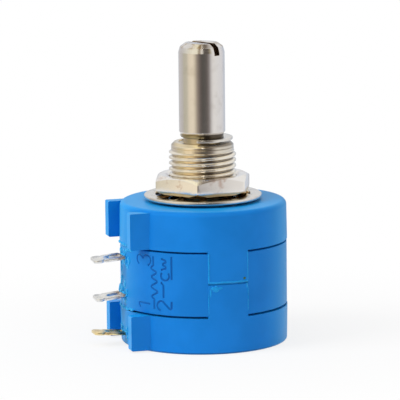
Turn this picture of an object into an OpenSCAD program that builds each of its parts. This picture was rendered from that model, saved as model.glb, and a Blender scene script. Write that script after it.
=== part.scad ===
// Ten-turn wirewound potentiometer, panel mounted, with solder lugs.
// Origin: centre of the front face, where the panel seats. +Z runs out along the shaft.
// The solder lugs point towards -X. All sizes are in millimetres.

/* [Housing] */
// Radius of the two covers at their seams
cover_r = 11.1; // [10.6:0.1:12]
// Length of the housing from the front face to the rear face
body_len = 18.8; // [18:0.1:22]
// Height of the front cover's skirt
front_band_h = 5.2; // [4.6:0.1:5.8]
// Height of the rear cover's skirt
rear_band_h = 4.8; // [4.4:0.1:5.4]
// Wall of the covers' skirts
cover_wall = 1.0; // [0.8:0.05:1.2]
// Thickness of the front cover's face
front_face_t = 1.8; // [1.4:0.1:2.2]
// Thickness of the rear cover's floor
rear_floor_t = 0.9; // [0.8:0.05:1.2]
// Taper of each skirt on radius, from its seam to its closed end
cover_draft = 0.08; // [0:0.01:0.15]
// Rounding of the front cover's outer edge
front_edge_r = 0.7; // [0.3:0.1:0.9]
// Rounding of the rear cover's outer edge
rear_edge_r = 0.35; // [0.2:0.05:0.6]
// Width of the open seam between a cover and the coil housing
seam_gap = 0.28; // [0.1:0.02:0.4]
// How far the coil housing's window lies below the covers
window_inset = 0.1; // [0:0.05:0.3]
// Wall of the coil housing inside the skirts
coil_wall = 1.4; // [1.2:0.05:1.8]
// Length of the rear cover's inner step, which the coil housing seats on
rear_step_h = 1.3; // [1.1:0.1:1.5]

/* [Locking tabs] */
// Width of the tabs
tab_w = 5.4; // [4:0.2:7]
// Clearance on each side of a tab
tab_gap = 0.06; // [0.04:0.01:0.12]
// Height of the front tabs below the skirt
front_tab_h = 4.1; // [3.4:0.1:4.6]
// Gap where a front tab meets a rear tab
tab_meet_gap = 0.08; // [0.04:0.02:0.2]

/* [Terminal wings] */
// Distance of the wings' outer faces from the middle plane
wing_half_w = 6.27; // [5.8:0.05:6.8]
// Thickness of a wing
wing_t = 1.6; // [1.2:0.1:2.0]
// Reach of the wings' end faces beyond the covers
wing_out = 0.63; // [0.4:0.01:1.2]
// Radius of the wings' corners
wing_corner_r = 0.3; // [0.1:0.1:0.8]
// Step of the wings from the face or floor of their cover
wing_step = 0.25; // [0.1:0.05:0.5]

/* [Bushing, nut and washer] */
// Radius over the bushing's thread
thread_r = 4.5; // [4.3:0.05:4.7]
// Pitch of the bushing's thread
thread_pitch = 0.75; // [0.5:0.05:1]
// Depth of the bushing's thread
thread_depth = 0.46; // [0.2:0.02:0.5]
// Width of the thread's root
thread_root_w = 0.12; // [0.04:0.02:0.16]
// Height of the thread's run-out above the front face
thread_low = 0.38; // [0.2:0.02:1.4]
// Length of the bushing above the front face
bushing_len = 7.8; // [7:0.1:9.5]
// Radius of the bushing's plain end above the thread
collar_r = 4.16; // [4.1:0.02:4.3]
// Length of the bushing's plain end
collar_len = 1.15; // [0.8:0.05:1.4]
// Width of the chamfer at the bushing's end
bushing_chamfer = 0.35; // [0.2:0.05:0.5]
// Radius of the bushing's inner flange
flange_r = 6.4; // [6:0.1:7.5]
// Thickness of the bushing's inner flange
flange_t = 0.8; // [0.6:0.05:1.0]
// Width of the nut across its flats
nut_flats = 11.8; // [11:0.1:13]
// Thickness of the nut
nut_t = 2.3; // [1.6:0.1:2.8]
// Radius of the nut's round top face
nut_face_r = 5.7; // [5.4:0.05:5.8]
// Angle of the nut's top chamfer
nut_chamfer_angle = 30; // [20:1:40]
// Radius of the nut's seat
nut_seat_r = 6.1; // [5.9:0.05:6.2]
// Angle of the nut's chamfer at its seat
nut_seat_angle = 55; // [40:5:60]
// Direction of one of the nut's corners
nut_angle = 8; // [0:1:59]
// Clearance between the nut's bore and the thread
nut_clear = 0.05; // [0.03:0.01:0.1]
// Clearance between the nut and the washer's teeth
nut_seat_gap = 0.05; // [0.02:0.01:0.1]
// Outer radius of the lock washer
washer_r = 7.78; // [7.2:0.02:8.4]
// Width of the lock washer's rim
washer_rim_w = 1.5; // [1.2:0.1:2]
// Thickness of the lock washer
washer_t = 0.5; // [0.4:0.05:0.6]
// Number of teeth on the lock washer
tooth_count = 10; // [8:1:12]
// Width of a tooth
tooth_w = 1.5; // [1.3:0.1:1.7]
// Twist of a tooth out of the washer's plane
tooth_twist = 26; // [20:1:48]
// Length of a tooth's root inside the rim
tooth_root = 0.4; // [0.2:0.1:0.6]
// Clearance between the teeth's tips and the thread
tooth_clear = 0.25; // [0.15:0.05:0.4]

/* [Shaft] */
// Radius of the shaft
shaft_r = 3.0; // [2.95:0.05:3.2]
// Length of the shaft above the front face
shaft_len = 21.0; // [16:0.5:26]
// Width of the chamfer at the shaft's end
shaft_chamfer_w = 0.9; // [0.3:0.05:1]
// Height of the chamfer at the shaft's end
shaft_chamfer_h = 1.0; // [0.4:0.1:1.2]
// Share of the chamfer's width that its steep lower part takes
chamfer_knee_w = 0.25; // [0.2:0.05:0.5]
// Share of the chamfer's height that its steep lower part takes
chamfer_knee_h = 0.6; // [0.4:0.05:0.8]
// Width of the screwdriver slot
slot_w = 0.85; // [0.6:0.05:1.2]
// Depth of the screwdriver slot
slot_depth = 1.8; // [1:0.1:2]
// Direction of the slot at rest
slot_angle = 120; // [0:5:180]
// Radius of the retaining groove's bottom
groove_r = 2.5; // [2.5:0.05:2.65]
// Radius of the shaft's neck between the groove and the shoulder
neck_r = 2.8; // [2.7:0.05:2.85]
// Height of the shoulder above the bushing
neck_h = 1.2; // [1:0.1:1.6]
// Depth of the groove's start inside the bushing
groove_sink = 0.1; // [0:0.05:0.4]
// Height of the cone from the neck up to the full shaft
shoulder_h = 0.25; // [0.1:0.05:0.35]
// Running clearance of the shaft in its bearings
bearing_clear = 0.03; // [0.02:0.01:0.06]
// Radius of the shaft inside the rotor
core_r = 2.2; // [2:0.05:2.3]
// Radius of the rear journal
journal_r = 1.5; // [1.3:0.05:1.7]
// Length of the rear journal inside the rear cover's boss
journal_len = 0.7; // [0.6:0.05:0.8]
// Wall of the rear bearing's boss
boss_wall = 1; // [0.8:0.1:1.4]
// End clearance of the rear journal
journal_gap = 0.05; // [0.02:0.01:0.1]
// Outer radius of the retaining ring
ring_r = 4.02; // [3.6:0.02:4.2]
// Thickness of the retaining ring
ring_t = 0.45; // [0.4:0.05:0.6]
// Gap between the retaining ring and the bushing
ring_gap = 0.13; // [0.05:0.01:0.2]
// Play between the retaining ring and the top of its groove
ring_play = 0.05; // [0.02:0.01:0.08]
// Opening of the retaining ring
ring_open = 116; // [60:2:120]
// Direction that the retaining ring opens to
ring_angle = 185; // [0:5:355]

/* [Solder lugs] */
// Reach of the lugs' tips beyond the covers
lug_out = 3.8; // [3.2:0.1:6]
// Reach of the lugs' bends beyond the covers
lug_straight = 0.25; // [0.1:0.05:0.4]
// Width of a lug
lug_w = 2.6; // [2.1:0.1:2.8]
// Thickness of a lug
lug_t = 0.35; // [0.3:0.05:0.45]
// Distance of the front lug behind the front cover's seam
lug_drop = 1.8; // [1.2:0.05:2.2]
// Height of the rear lug above the rear cover's floor
lug_rise = 0.7; // [0.6:0.05:0.8]
// Width of the eye
eye_w = 1.1; // [0.8:0.05:1.3]
// Length of the eye
eye_len = 2.1; // [1.6:0.1:2.4]
// Distance of the eye's outer end from the lug's tip
eye_end = 1.55; // [1.3:0.05:1.7]
// Radius of the wire notches in the lug's edges
notch_r = 0.22; // [0.1:0.02:0.3]
// Distance of the wire notches from the tip
notch_end = 0.95; // [0.7:0.05:1.1]
// Depth of the slanted corners at the tip
tip_taper = 0.35; // [0.1:0.05:0.6]
// Downward bend of the front lug
droop_front = 5; // [0:1:10]
// Downward bend of the middle lug
droop_middle = 6; // [0:1:10]
// Downward bend of the rear lug
droop_rear = -3; // [-6:1:2]
// Sideways tilt of the front and middle lugs
lug_tilt = 5; // [0:1:8]
// Inset of a lug's foot from the lug's edges
foot_inset = 0.2; // [0.1:0.05:0.3]
// Depth of a lug's foot inside the bore's wall
foot_gap = 0.15; // [0.1:0.01:0.2]
// Reach of the rear lug inside the bore
lug_lap = 0.8; // [0.6:0.05:1]
// Reach of a seal bead beyond the covers
bead_h = 0.3; // [0.2:0.05:0.6]
// Margin of a seal bead round its lug
bead_margin = 0.45; // [0.3:0.05:0.6]

/* [Coil] */
// Turns of the resistance coil
turns = 10; // [5:1:10]
// Radius of the wound core
coil_wire_r = 0.45; // [0.35:0.05:0.48]
// Depth that the coil is pressed into the bore's wall
coil_press = 0.05; // [0.03:0.01:0.1]
// Steps of the coil's outline in one turn
coil_steps = 30; // [24:6:36]
// Depth of the wire's bed in the coil clips
clip_bed = 0.25; // [0.1:0.05:0.4]
// Width of the coil clips
clip_w = 0.9; // [0.6:0.1:1.2]

/* [Rotor and wiper] */
// Turns of the shaft from the rear end of the travel to the rest position
rest_turns = 4.875; // [1:0.125:9]
// Gap between the rotor and the coil
rotor_gap = 1.25; // [1:0.05:1.6]
// Distance of the slot's floor from the axis
track_floor_r = 2.8; // [2.6:0.05:3]
// Width of the rotor's slot
track_w = 3.4; // [2.8:0.1:4]
// Thickness of the rotor's ends beyond the slot
rotor_end_t = 0.5; // [0.4:0.05:0.6]
// Sliding clearance of the carriage in the slot
track_clear = 0.05; // [0.03:0.01:0.08]
// Gap between the carriage and the coil
carriage_gap = 0.55; // [0.4:0.05:0.8]
// Length of the carriage along the axis
carriage_len = 2.0; // [1.6:0.1:2]
// Width of the wiper contact
contact_w = 0.8; // [0.6:0.1:1.2]
// Radius of the wiper contact's rounded ends
contact_end_r = 0.28; // [0.2:0.02:0.35]
// Thickness of the wiper contact's strip
contact_t = 0.2; // [0.15:0.05:0.3]
// Clearance between the wiper contact and the coil
contact_gap = 0.08; // [0.05:0.01:0.12]
// Thickness of the contact rail
rail_t = 0.2; // [0.15:0.05:0.3]
// Width of the contact rail
rail_w = 1.2; // [0.8:0.1:1.6]
// Thickness of the thrust washer
thrust_t = 0.2; // [0.15:0.05:0.3]
// Outer radius of the thrust washer
thrust_r = 5.0; // [4.2:0.1:6]
// End clearance between the thrust washer and the flange
thrust_gap = 0.05; // [0.03:0.01:0.1]
// Thickness of the slip ring
slip_t = 0.2; // [0.15:0.05:0.3]
// Gap between the slip ring and the shaft
slip_inset = 0.2; // [0.1:0.05:0.4]
// Width of the slip ring
slip_w = 2.2; // [1.8:0.1:3]
// Thickness of the brush spring
brush_t = 0.12; // [0.1:0.02:0.15]
// Width of the brush spring
brush_w = 1.2; // [0.8:0.1:1.6]
// Clearance between the brush and the slip ring
brush_gap = 0.02; // [0.01:0.01:0.05]
// Rise of the slip ring above the brush spring
brush_rise = 0.225; // [0.2:0.005:0.3]
// Radius of the brush spring's contact button
button_r = 0.35; // [0.25:0.05:0.5]

/* [Hidden] */
$fn = 96;

// Overrun of a cut past the faces that it opens
cut = 0.5;

// Heights of the housing's joints
rear_z = -body_len;
front_seam_z = -front_band_h;
rear_seam_z = rear_z + rear_band_h;
tab_meet_z = front_seam_z - front_tab_h;
rear_floor_z = rear_z + rear_floor_t;
step_z = rear_floor_z + rear_step_h;

// Radii and widths of the housing
skirt_in_r = cover_r - cover_wall;
window_r = cover_r - window_inset;
coil_bore_r = skirt_in_r - coil_wall;
wing_in_y = wing_half_w - wing_t;
wing_reach = cover_r + wing_out;

// Lugs, the middle one halfway between the others
lug_front_z = front_seam_z - lug_drop;
lug_rear_z = rear_floor_z + lug_rise;
lug_middle_z = (lug_front_z + lug_rear_z) / 2;
lug_bend_r = cover_r + lug_straight;
lug_len = lug_out - lug_straight;
foot_w = lug_w - 2 * foot_inset;
foot_in_r = coil_bore_r + foot_gap;
foot_out_r = foot_in_r + lug_t;
lug_2_in_r = coil_bore_r - lug_lap;

// Stack of the turning pieces, from the bushing's flange to the rear lug
flange_z = -front_face_t - flange_t;
thrust_z = flange_z - thrust_gap;
rotor_front_z = thrust_z - thrust_t;
track_front_z = rotor_front_z - rotor_end_t;
brush_z = lug_rear_z - lug_t / 2;
slip_z = brush_z + brush_rise;
rotor_rear_z = slip_z + slip_t;
track_rear_z = rotor_rear_z + rotor_end_t;

// Coil, whose lead fills the carriage's travel in the rotor's slot
carriage_half = carriage_len / 2;
coil_front_z = track_front_z - track_clear - carriage_half;
coil_rear_z = track_rear_z + track_clear + carriage_half;
coil_pitch = (coil_front_z - coil_rear_z) / turns;
coil_r = coil_bore_r + coil_press - coil_wire_r;
coil_in_r = coil_r - coil_wire_r;
clip_in_r = coil_r + coil_wire_r - clip_bed;

// Radii of what turns inside the coil
rotor_r = coil_in_r - rotor_gap;
carriage_r = coil_in_r - carriage_gap;
slip_in_r = core_r + slip_inset;
slip_out_r = slip_in_r + slip_w;
rail_r = track_floor_r + rail_t;

// Where the carriage stands at rest, on the coil
rest_angle = 180 - 360 * rest_turns;
rest_z = coil_rear_z + coil_pitch * rest_turns;

// Thread, with flanks at 30 degrees to its grooves' middle planes
thread_root_r = thread_r - thread_depth;
groove_half = thread_root_w / 2 + thread_depth * tan(30);
thread_end_z = bushing_len - collar_len - (thread_r - collar_r) * tan(30);
thread_count = floor((thread_end_z - thread_low) / thread_pitch);

// Lock washer and nut
tooth_half_h = tooth_w / 2 * sin(tooth_twist) + washer_t / 2 * cos(tooth_twist);
washer_z = tooth_half_h - washer_t / 2;
washer_in_r = washer_r - washer_rim_w;
nut_z = 2 * tooth_half_h + nut_seat_gap;
nut_top_z = nut_z + nut_t;
nut_corner_r = nut_flats / 2 / cos(30);
nut_chamfer = (nut_corner_r - nut_face_r) * tan(nut_chamfer_angle);
nut_seat_chamfer = (nut_corner_r - nut_seat_r) * tan(nut_seat_angle);

// Shaft
bearing_r = shaft_r + bearing_clear;
neck_top_z = bushing_len + neck_h;
ring_z = bushing_len + ring_gap;
groove_top_z = ring_z + ring_t + ring_play;
journal_floor_z = rear_floor_z - rear_floor_t / 2;
journal_end_z = journal_floor_z + journal_gap;
boss_z = journal_end_z + journal_len;
boss_r = journal_r + boss_wall;

// Points along an arc about a centre
function arc(cx, cy, r, from, to, steps = 6) =
    [for (i = [0:steps]) let (a = from + (to - from) * i / steps) [cx + r * cos(a), cy + r * sin(a)]];

// Outline of the thread's grooves, from the highest to the lowest
function thread_grooves() =
    [for (i = [thread_count - 1:-1:0])
        let (z = thread_low + thread_pitch * (i + 0.5), root = thread_root_w / 2)
        each [[thread_r, z + groove_half], [thread_root_r, z + root],
              [thread_root_r, z - root], [thread_r, z - groove_half]]];

// Ring of points round the coil's wire, at one angle along the helix
function coil_section(turn) =
    let (a = 180 - 360 * turn, z = coil_rear_z + coil_pitch * turn)
    [for (k = [0:5]) let (r = coil_r + coil_wire_r * cos(60 * k))
        [r * cos(a), r * sin(a), z + coil_wire_r * sin(60 * k)]];

// Solid turned from a profile of [radius, height] points
module turned(points) {
    rotate_extrude() polygon(points);
}

// Flat ring between two heights
module tube(out_r, in_r, low, high) {
    difference() {
        translate([0, 0, low]) cylinder(r = out_r, h = high - low);
        translate([0, 0, low - cut]) cylinder(r = in_r, h = high - low + 2 * cut);
    }
}

// Box from one corner to the opposite one
module block(low, high) {
    translate(low) cube(high - low);
}

// Space of the two locking tabs, or of their slots when grown by a clearance
module tab_sectors(out_r, low, high, grow = 0) {
    half = tab_w / 2 + grow;
    intersection() {
        tube(out_r, skirt_in_r, low, high);
        block([-half, -out_r, low - cut], [half, out_r, high + cut]);
    }
}

// The two wings that stand beside the lugs
module wings(low, high) {
    c = wing_corner_r;
    outline = concat([[-skirt_in_r + cover_wall, high]],
                     arc(-wing_reach + c, high - c, c, 90, 180),
                     arc(-wing_reach + c, low + c, c, 180, 270),
                     [[-skirt_in_r + cover_wall, low]]);
    difference() {
        for (y = [-wing_in_y, wing_half_w])
            translate([0, y, 0]) rotate([90, 0, 0]) linear_extrude(wing_t) polygon(outline);
        translate([0, 0, low - cut]) cylinder(r = skirt_in_r, h = high - low + 2 * cut);
    }
}

// Outside of the rear cover's cup
module rear_cup() {
    e = rear_edge_r;
    turned(concat([[0, rear_z]],
                  arc(cover_r - cover_draft - e, rear_z + e, e, -90, 0),
                  [[cover_r, rear_seam_z], [0, rear_seam_z]]));
}

// Straight root of a lug, through the wall
module lug_root(z, in_r) {
    block([-lug_bend_r, -lug_w / 2, z - lug_t / 2], [-in_r, lug_w / 2, z + lug_t / 2]);
}

// Outline of a lug's blade beyond the bend
module lug_outline() {
    len = lug_len;
    half = lug_w / 2;
    eye_mid = len - eye_end - eye_len / 2;
    eye_side = (eye_len - eye_w) / 2;
    difference() {
        polygon([[0, -half], [len - tip_taper, -half], [len, tip_taper - half],
                 [len, half - tip_taper], [len - tip_taper, half], [0, half]]);
        translate([eye_mid - eye_side, -eye_w / 2]) square([2 * eye_side, eye_w]);
        for (side = [-1, 1]) {
            translate([eye_mid + side * eye_side, 0]) circle(d = eye_w);
            translate([len - notch_end, side * half]) circle(r = notch_r);
        }
    }
}

// Stamped lug: root through the wall, a bend and the eyed blade
module lug(z, droop, in_r, tilt = 0) {
    lug_root(z, in_r);
    translate([-lug_bend_r, 0, z]) {
        rotate([90, 0, 0]) cylinder(d = lug_t, h = lug_w, center = true);
        rotate([-tilt, droop, 180]) translate([0, 0, -lug_t / 2]) linear_extrude(lug_t) lug_outline();
    }
}

// Strip along the bore that joins a lug to its coil clip, or its slot when it reaches the bore
module lug_foot(z, end_z, in_r = foot_in_r) {
    side = end_z > z ? 1 : -1;
    from = z - side * lug_t / 2;
    to = end_z + side * coil_wire_r;
    block([-foot_out_r, -foot_w / 2, min(from, to)], [-in_r, foot_w / 2, max(from, to)]);
}

// Clip that beds one end of the coil and lies on a lug's foot
module coil_clip(z) {
    difference() {
        block([-foot_in_r, -clip_w / 2, z - coil_wire_r], [-clip_in_r, clip_w / 2, z + coil_wire_r]);
        translate([-coil_r, 0, z]) rotate([90, 0, 0])
            cylinder(r = coil_wire_r, h = clip_w + 2 * cut, center = true);
    }
}

// Bead of sealant on the wall, round a lug
module seal_bead(z) {
    half_h = lug_t / 2 + bead_margin;
    side = lug_w / 2 + bead_margin - half_h;
    translate([-cover_r - bead_h, 0, z]) rotate([0, 90, 0]) linear_extrude(bead_h + cover_wall) {
        translate([-half_h, -side]) square([2 * half_h, 2 * side]);
        for (y = [-side, side]) translate([0, y]) circle(r = half_h);
    }
}

// Sprung strip with a rounded contact at each end
module contact_shape() {
    outer = coil_in_r - contact_gap - contact_end_r;
    inner = rail_r + track_clear + contact_end_r;
    block([inner, -contact_w / 2, -contact_t / 2], [outer, contact_w / 2, contact_t / 2]);
    for (x = [inner, outer]) translate([x, 0, 0]) rotate([90, 0, 0])
        cylinder(r = contact_end_r, h = contact_w, center = true);
}

// Places what rides on the carriage where it stands at rest
module on_carriage() {
    rotate([0, 0, rest_angle]) translate([0, 0, rest_z]) children();
}

module front_cover() {
    e = front_edge_r;
    color("royalblue") {
        turned(concat([[thread_r, 0]],
                      arc(cover_r - cover_draft - e, -e, e, 90, 0),
                      [[cover_r, front_seam_z], [skirt_in_r, front_seam_z],
                       [skirt_in_r, -front_face_t], [thread_r, -front_face_t]]));
        tab_sectors(cover_r, tab_meet_z, front_seam_z);
        wings(front_seam_z, -wing_step);
    }
}

module rear_cover() {
    color("royalblue") difference() {
        union() {
            rear_cup();
            tab_sectors(cover_r, rear_seam_z, tab_meet_z - tab_meet_gap);
            wings(rear_z + wing_step, rear_seam_z);
        }
        translate([0, 0, step_z]) cylinder(r = skirt_in_r, h = rear_seam_z - step_z + cut);
        tube(coil_bore_r, boss_r, rear_floor_z, step_z + cut);
        translate([0, 0, boss_z]) cylinder(r = boss_r + cut, h = step_z - boss_z + cut);
        translate([0, 0, journal_floor_z]) cylinder(r = journal_r + bearing_clear, h = body_len);
        lug_root(lug_rear_z, lug_2_in_r);
    }
}

module coil_housing() {
    top = front_seam_z - seam_gap;
    low = rear_seam_z + seam_gap;
    color("dodgerblue") difference() {
        turned([[coil_bore_r, -front_face_t], [skirt_in_r, -front_face_t], [skirt_in_r, top],
                [window_r, top], [window_r, low], [skirt_in_r, low], [skirt_in_r, step_z],
                [coil_bore_r, step_z]]);
        tab_sectors(cover_r + cut, low - cut, top + cut, tab_gap);
        lug_root(lug_front_z, foot_in_r);
        lug_root(lug_middle_z, foot_in_r);
        lug_foot(lug_front_z, coil_front_z, coil_in_r);
        lug_foot(lug_middle_z, coil_rear_z, coil_in_r);
    }
}

module bushing() {
    c = bushing_chamfer;
    color("silver")
        turned(concat([[bearing_r, bushing_len], [collar_r - c, bushing_len], [collar_r, bushing_len - c],
                       [collar_r, bushing_len - collar_len], [thread_r, thread_end_z]],
                      thread_grooves(),
                      [[thread_r, -front_face_t], [flange_r, -front_face_t], [flange_r, flange_z],
                       [bearing_r, flange_z]]));
}

module mounting_nut() {
    color("lightgray") difference() {
        intersection() {
            translate([0, 0, nut_z]) rotate([0, 0, nut_angle]) cylinder(r = nut_corner_r, h = nut_t, $fn = 6);
            turned([[0, nut_z], [nut_seat_r, nut_z], [nut_corner_r, nut_z + nut_seat_chamfer],
                    [nut_corner_r, nut_top_z - nut_chamfer], [nut_face_r, nut_top_z], [0, nut_top_z]]);
        }
        translate([0, 0, nut_z - cut]) cylinder(r = thread_r + nut_clear, h = nut_t + 2 * cut);
    }
}

module lock_washer() {
    tip_r = thread_r + tooth_clear;
    color("silver") {
        tube(washer_r, washer_in_r, washer_z, washer_z + washer_t);
        for (i = [0:tooth_count - 1]) rotate([0, 0, 360 / tooth_count * i])
            translate([tip_r, 0, tooth_half_h]) rotate([tooth_twist, 0, 0])
                translate([0, -tooth_w / 2, -washer_t / 2])
                    cube([washer_in_r - tip_r + tooth_root, tooth_w, washer_t]);
    }
}

module shaft() {
    w = shaft_chamfer_w;
    h = shaft_chamfer_h;
    low_z = bushing_len - groove_sink;
    color("gainsboro") difference() {
        turned([[0, journal_end_z], [journal_r, journal_end_z], [journal_r, rotor_rear_z],
                [core_r, rotor_rear_z], [core_r, rotor_front_z], [shaft_r, rotor_front_z],
                [shaft_r, low_z], [groove_r, low_z], [groove_r, groove_top_z],
                [neck_r, groove_top_z], [neck_r, neck_top_z],
                [shaft_r, neck_top_z + shoulder_h], [shaft_r, shaft_len - h],
                [shaft_r - w * chamfer_knee_w, shaft_len - h * (1 - chamfer_knee_h)],
                [shaft_r - w, shaft_len], [0, shaft_len]]);
        rotate([0, 0, slot_angle])
            block([-shaft_r - cut, -slot_w / 2, shaft_len - slot_depth],
                  [shaft_r + cut, slot_w / 2, shaft_len + cut]);
    }
}

module retaining_ring() {
    side = 2 * ring_r;
    half = ring_open / 2;
    color("whitesmoke") difference() {
        tube(ring_r, groove_r, ring_z, ring_z + ring_t);
        translate([0, 0, ring_z - cut]) rotate([0, 0, ring_angle]) linear_extrude(ring_t + 2 * cut)
            polygon([[0, 0], [side * cos(half), -side * sin(half)], [side * cos(half), side * sin(half)]]);
    }
}

module terminal_1() {
    color("white") {
        lug(lug_middle_z, droop_middle, foot_in_r, lug_tilt);
        lug_foot(lug_middle_z, coil_rear_z);
    }
}

module terminal_2() {
    color("gold") lug(lug_rear_z, droop_rear, lug_2_in_r);
}

module terminal_3() {
    color("white") {
        lug(lug_front_z, droop_front, foot_in_r, lug_tilt);
        lug_foot(lug_front_z, coil_front_z);
    }
}

module terminal_seal_1() {
    color("steelblue") difference() {
        seal_bead(lug_middle_z);
        translate([0, 0, rear_z]) cylinder(r = window_r, h = body_len);
        lug(lug_middle_z, droop_middle, foot_in_r, lug_tilt);
    }
}

module terminal_seal_2() {
    color("steelblue") difference() {
        seal_bead(lug_rear_z);
        rear_cup();
        lug(lug_rear_z, droop_rear, lug_2_in_r);
    }
}

module terminal_seal_3() {
    color("steelblue") difference() {
        seal_bead(lug_front_z);
        translate([0, 0, rear_z]) cylinder(r = window_r, h = body_len);
        lug(lug_front_z, droop_front, foot_in_r, lug_tilt);
    }
}

module resistance_coil() {
    rings = turns * coil_steps;
    sides = 6;
    points = [for (i = [0:rings]) each coil_section(i / coil_steps)];
    walls = [for (i = [0:rings - 1], k = [0:sides - 1])
        let (n = (k + 1) % sides, a = i * sides, b = a + sides) [a + k, a + n, b + n, b + k]];
    ends = [[for (k = [0:sides - 1]) sides - 1 - k], [for (k = [0:sides - 1]) rings * sides + k]];
    color("peru") polyhedron(points, concat(walls, ends));
}

module coil_clip_front() {
    color("goldenrod") coil_clip(coil_front_z);
}

module coil_clip_rear() {
    color("goldenrod") coil_clip(coil_rear_z);
}

module rotor() {
    half = track_w / 2;
    color("dimgray") difference() {
        tube(rotor_r, core_r, rotor_rear_z, rotor_front_z);
        rotate([0, 0, rest_angle]) {
            block([track_floor_r, -half, track_rear_z], [rotor_r + cut, half, track_front_z]);
            block([track_floor_r, -rail_w / 2, rotor_rear_z - cut], [rail_r, rail_w / 2, track_rear_z + cut]);
        }
    }
}

module contact_rail() {
    color("gold") rotate([0, 0, rest_angle])
        block([track_floor_r, -rail_w / 2, rotor_rear_z], [rail_r, rail_w / 2, track_front_z]);
}

module slip_ring() {
    color("gold") tube(slip_out_r, slip_in_r, slip_z, rotor_rear_z);
}

module thrust_washer() {
    color("burlywood") tube(thrust_r, shaft_r, rotor_front_z, thrust_z);
}

module wiper_carriage() {
    half = track_w / 2 - track_clear;
    color("ivory") on_carriage() difference() {
        block([rail_r + track_clear, -half, -carriage_half], [carriage_r, half, carriage_half]);
        contact_shape();
    }
}

module wiper_contact() {
    color("goldenrod") on_carriage() contact_shape();
}

module brush_spring() {
    color("gold") {
        block([-coil_bore_r + track_clear, -brush_w / 2, brush_z - brush_t],
              [-slip_in_r - button_r, brush_w / 2, brush_z]);
        translate([-(slip_in_r + slip_out_r) / 2, 0, brush_z - brush_t])
            cylinder(r = button_r, h = brush_t + brush_rise - brush_gap);
    }
}

front_cover();
coil_housing();
rear_cover();
bushing();
mounting_nut();
lock_washer();
shaft();
retaining_ring();
terminal_1();
terminal_2();
terminal_3();
terminal_seal_1();
terminal_seal_2();
terminal_seal_3();
resistance_coil();
coil_clip_front();
coil_clip_rear();
rotor();
contact_rail();
slip_ring();
thrust_washer();
wiper_carriage();
wiper_contact();
brush_spring();
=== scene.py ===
import math
import bpy
from mathutils import Matrix, Vector, noise


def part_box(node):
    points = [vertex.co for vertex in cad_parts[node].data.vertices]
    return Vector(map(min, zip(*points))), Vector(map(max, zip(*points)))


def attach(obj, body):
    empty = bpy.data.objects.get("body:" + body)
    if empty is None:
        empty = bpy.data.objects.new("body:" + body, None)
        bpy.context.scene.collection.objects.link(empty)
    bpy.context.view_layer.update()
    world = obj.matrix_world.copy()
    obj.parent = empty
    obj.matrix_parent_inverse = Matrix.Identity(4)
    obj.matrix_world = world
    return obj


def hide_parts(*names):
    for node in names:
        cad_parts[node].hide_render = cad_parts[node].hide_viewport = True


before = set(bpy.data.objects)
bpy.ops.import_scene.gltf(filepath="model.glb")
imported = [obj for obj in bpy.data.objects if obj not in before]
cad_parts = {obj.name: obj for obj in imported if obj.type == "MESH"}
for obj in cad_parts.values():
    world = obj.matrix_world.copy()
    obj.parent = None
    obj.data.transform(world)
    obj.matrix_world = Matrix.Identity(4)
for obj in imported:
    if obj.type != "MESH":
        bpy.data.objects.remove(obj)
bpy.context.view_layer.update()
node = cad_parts
print("frame loaded:", len(node), "nodes")

# Pieces are modelled in millimetres and brought to metres when they are finished.
mm = 0.001


def clearSelection():
    if bpy.context.object and bpy.context.object.mode != "OBJECT":
        bpy.ops.object.mode_set(mode="OBJECT")
    bpy.ops.object.select_all(action="DESELECT")


def takeUp(piece):
    clearSelection()
    piece.select_set(True)
    bpy.context.view_layer.objects.active = piece


def closeUp(piece):                   # merges doubles, fills open ends and turns all faces outwards
    takeUp(piece)
    bpy.ops.object.mode_set(mode="EDIT")
    bpy.ops.mesh.select_mode(type="VERT")
    bpy.ops.mesh.select_all(action="SELECT")
    bpy.ops.mesh.remove_doubles(threshold=0.0005)
    bpy.ops.mesh.select_all(action="DESELECT")
    bpy.ops.mesh.select_non_manifold()
    bpy.ops.mesh.fill_holes(sides=0)
    bpy.ops.mesh.select_all(action="SELECT")
    bpy.ops.mesh.normals_make_consistent(inside=False)
    bpy.ops.object.mode_set(mode="OBJECT")
    return piece


def drawLine(points):                 # a vertex extruded from point to point
    clearSelection()
    bpy.ops.mesh.primitive_plane_add(size=1, location=(0, 0, 0))
    bpy.ops.object.mode_set(mode="EDIT")
    bpy.ops.mesh.select_mode(type="VERT")
    bpy.ops.mesh.select_all(action="SELECT")
    bpy.ops.mesh.merge(type="CENTER")
    bpy.ops.transform.translate(value=points[0])
    for a, b in zip(points, points[1:]):
        bpy.ops.mesh.extrude_vertices_move(TRANSFORM_OT_translate={"value": Vector(b) - Vector(a)})
    return bpy.context.object


def rounded(corners, steps=5):        # outline of [across, up, fillet] corners with their fillets as arcs
    outline = []
    count = len(corners)
    for i, corner in enumerate(corners):
        here = Vector(corner[:2])
        fillet = corner[2] if len(corner) > 2 else 0
        if not fillet:
            outline.append(here)
            continue
        back = (Vector(corners[i - 1][:2]) - here).normalized()
        ahead = (Vector(corners[(i + 1) % count][:2]) - here).normalized()
        half = back.angle(ahead) / 2
        middle = here + (back + ahead).normalized() * fillet / math.sin(half)
        start = here + back * fillet / math.tan(half) - middle
        turn = start.angle_signed(here + ahead * fillet / math.tan(half) - middle)
        for k in range(steps + 1):
            share = -turn * k / steps
            outline.append(middle + Matrix.Rotation(share, 2) @ start)
    return outline


def turned(outline, steps=180, start=0, sweep=math.tau):   # closed outline in the XZ plane, spun round Z
    points = [(p[0], 0, p[1]) for p in outline]
    piece = drawLine(points + points[:1])
    bpy.ops.mesh.select_all(action="SELECT")
    bpy.ops.mesh.spin(steps=steps, angle=sweep, center=(0, 0, 0), axis=(0, 0, 1))
    bpy.ops.object.mode_set(mode="OBJECT")
    piece.rotation_euler.z = start
    bpy.ops.object.transform_apply(location=True, rotation=True, scale=True)
    return closeUp(piece)


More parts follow.
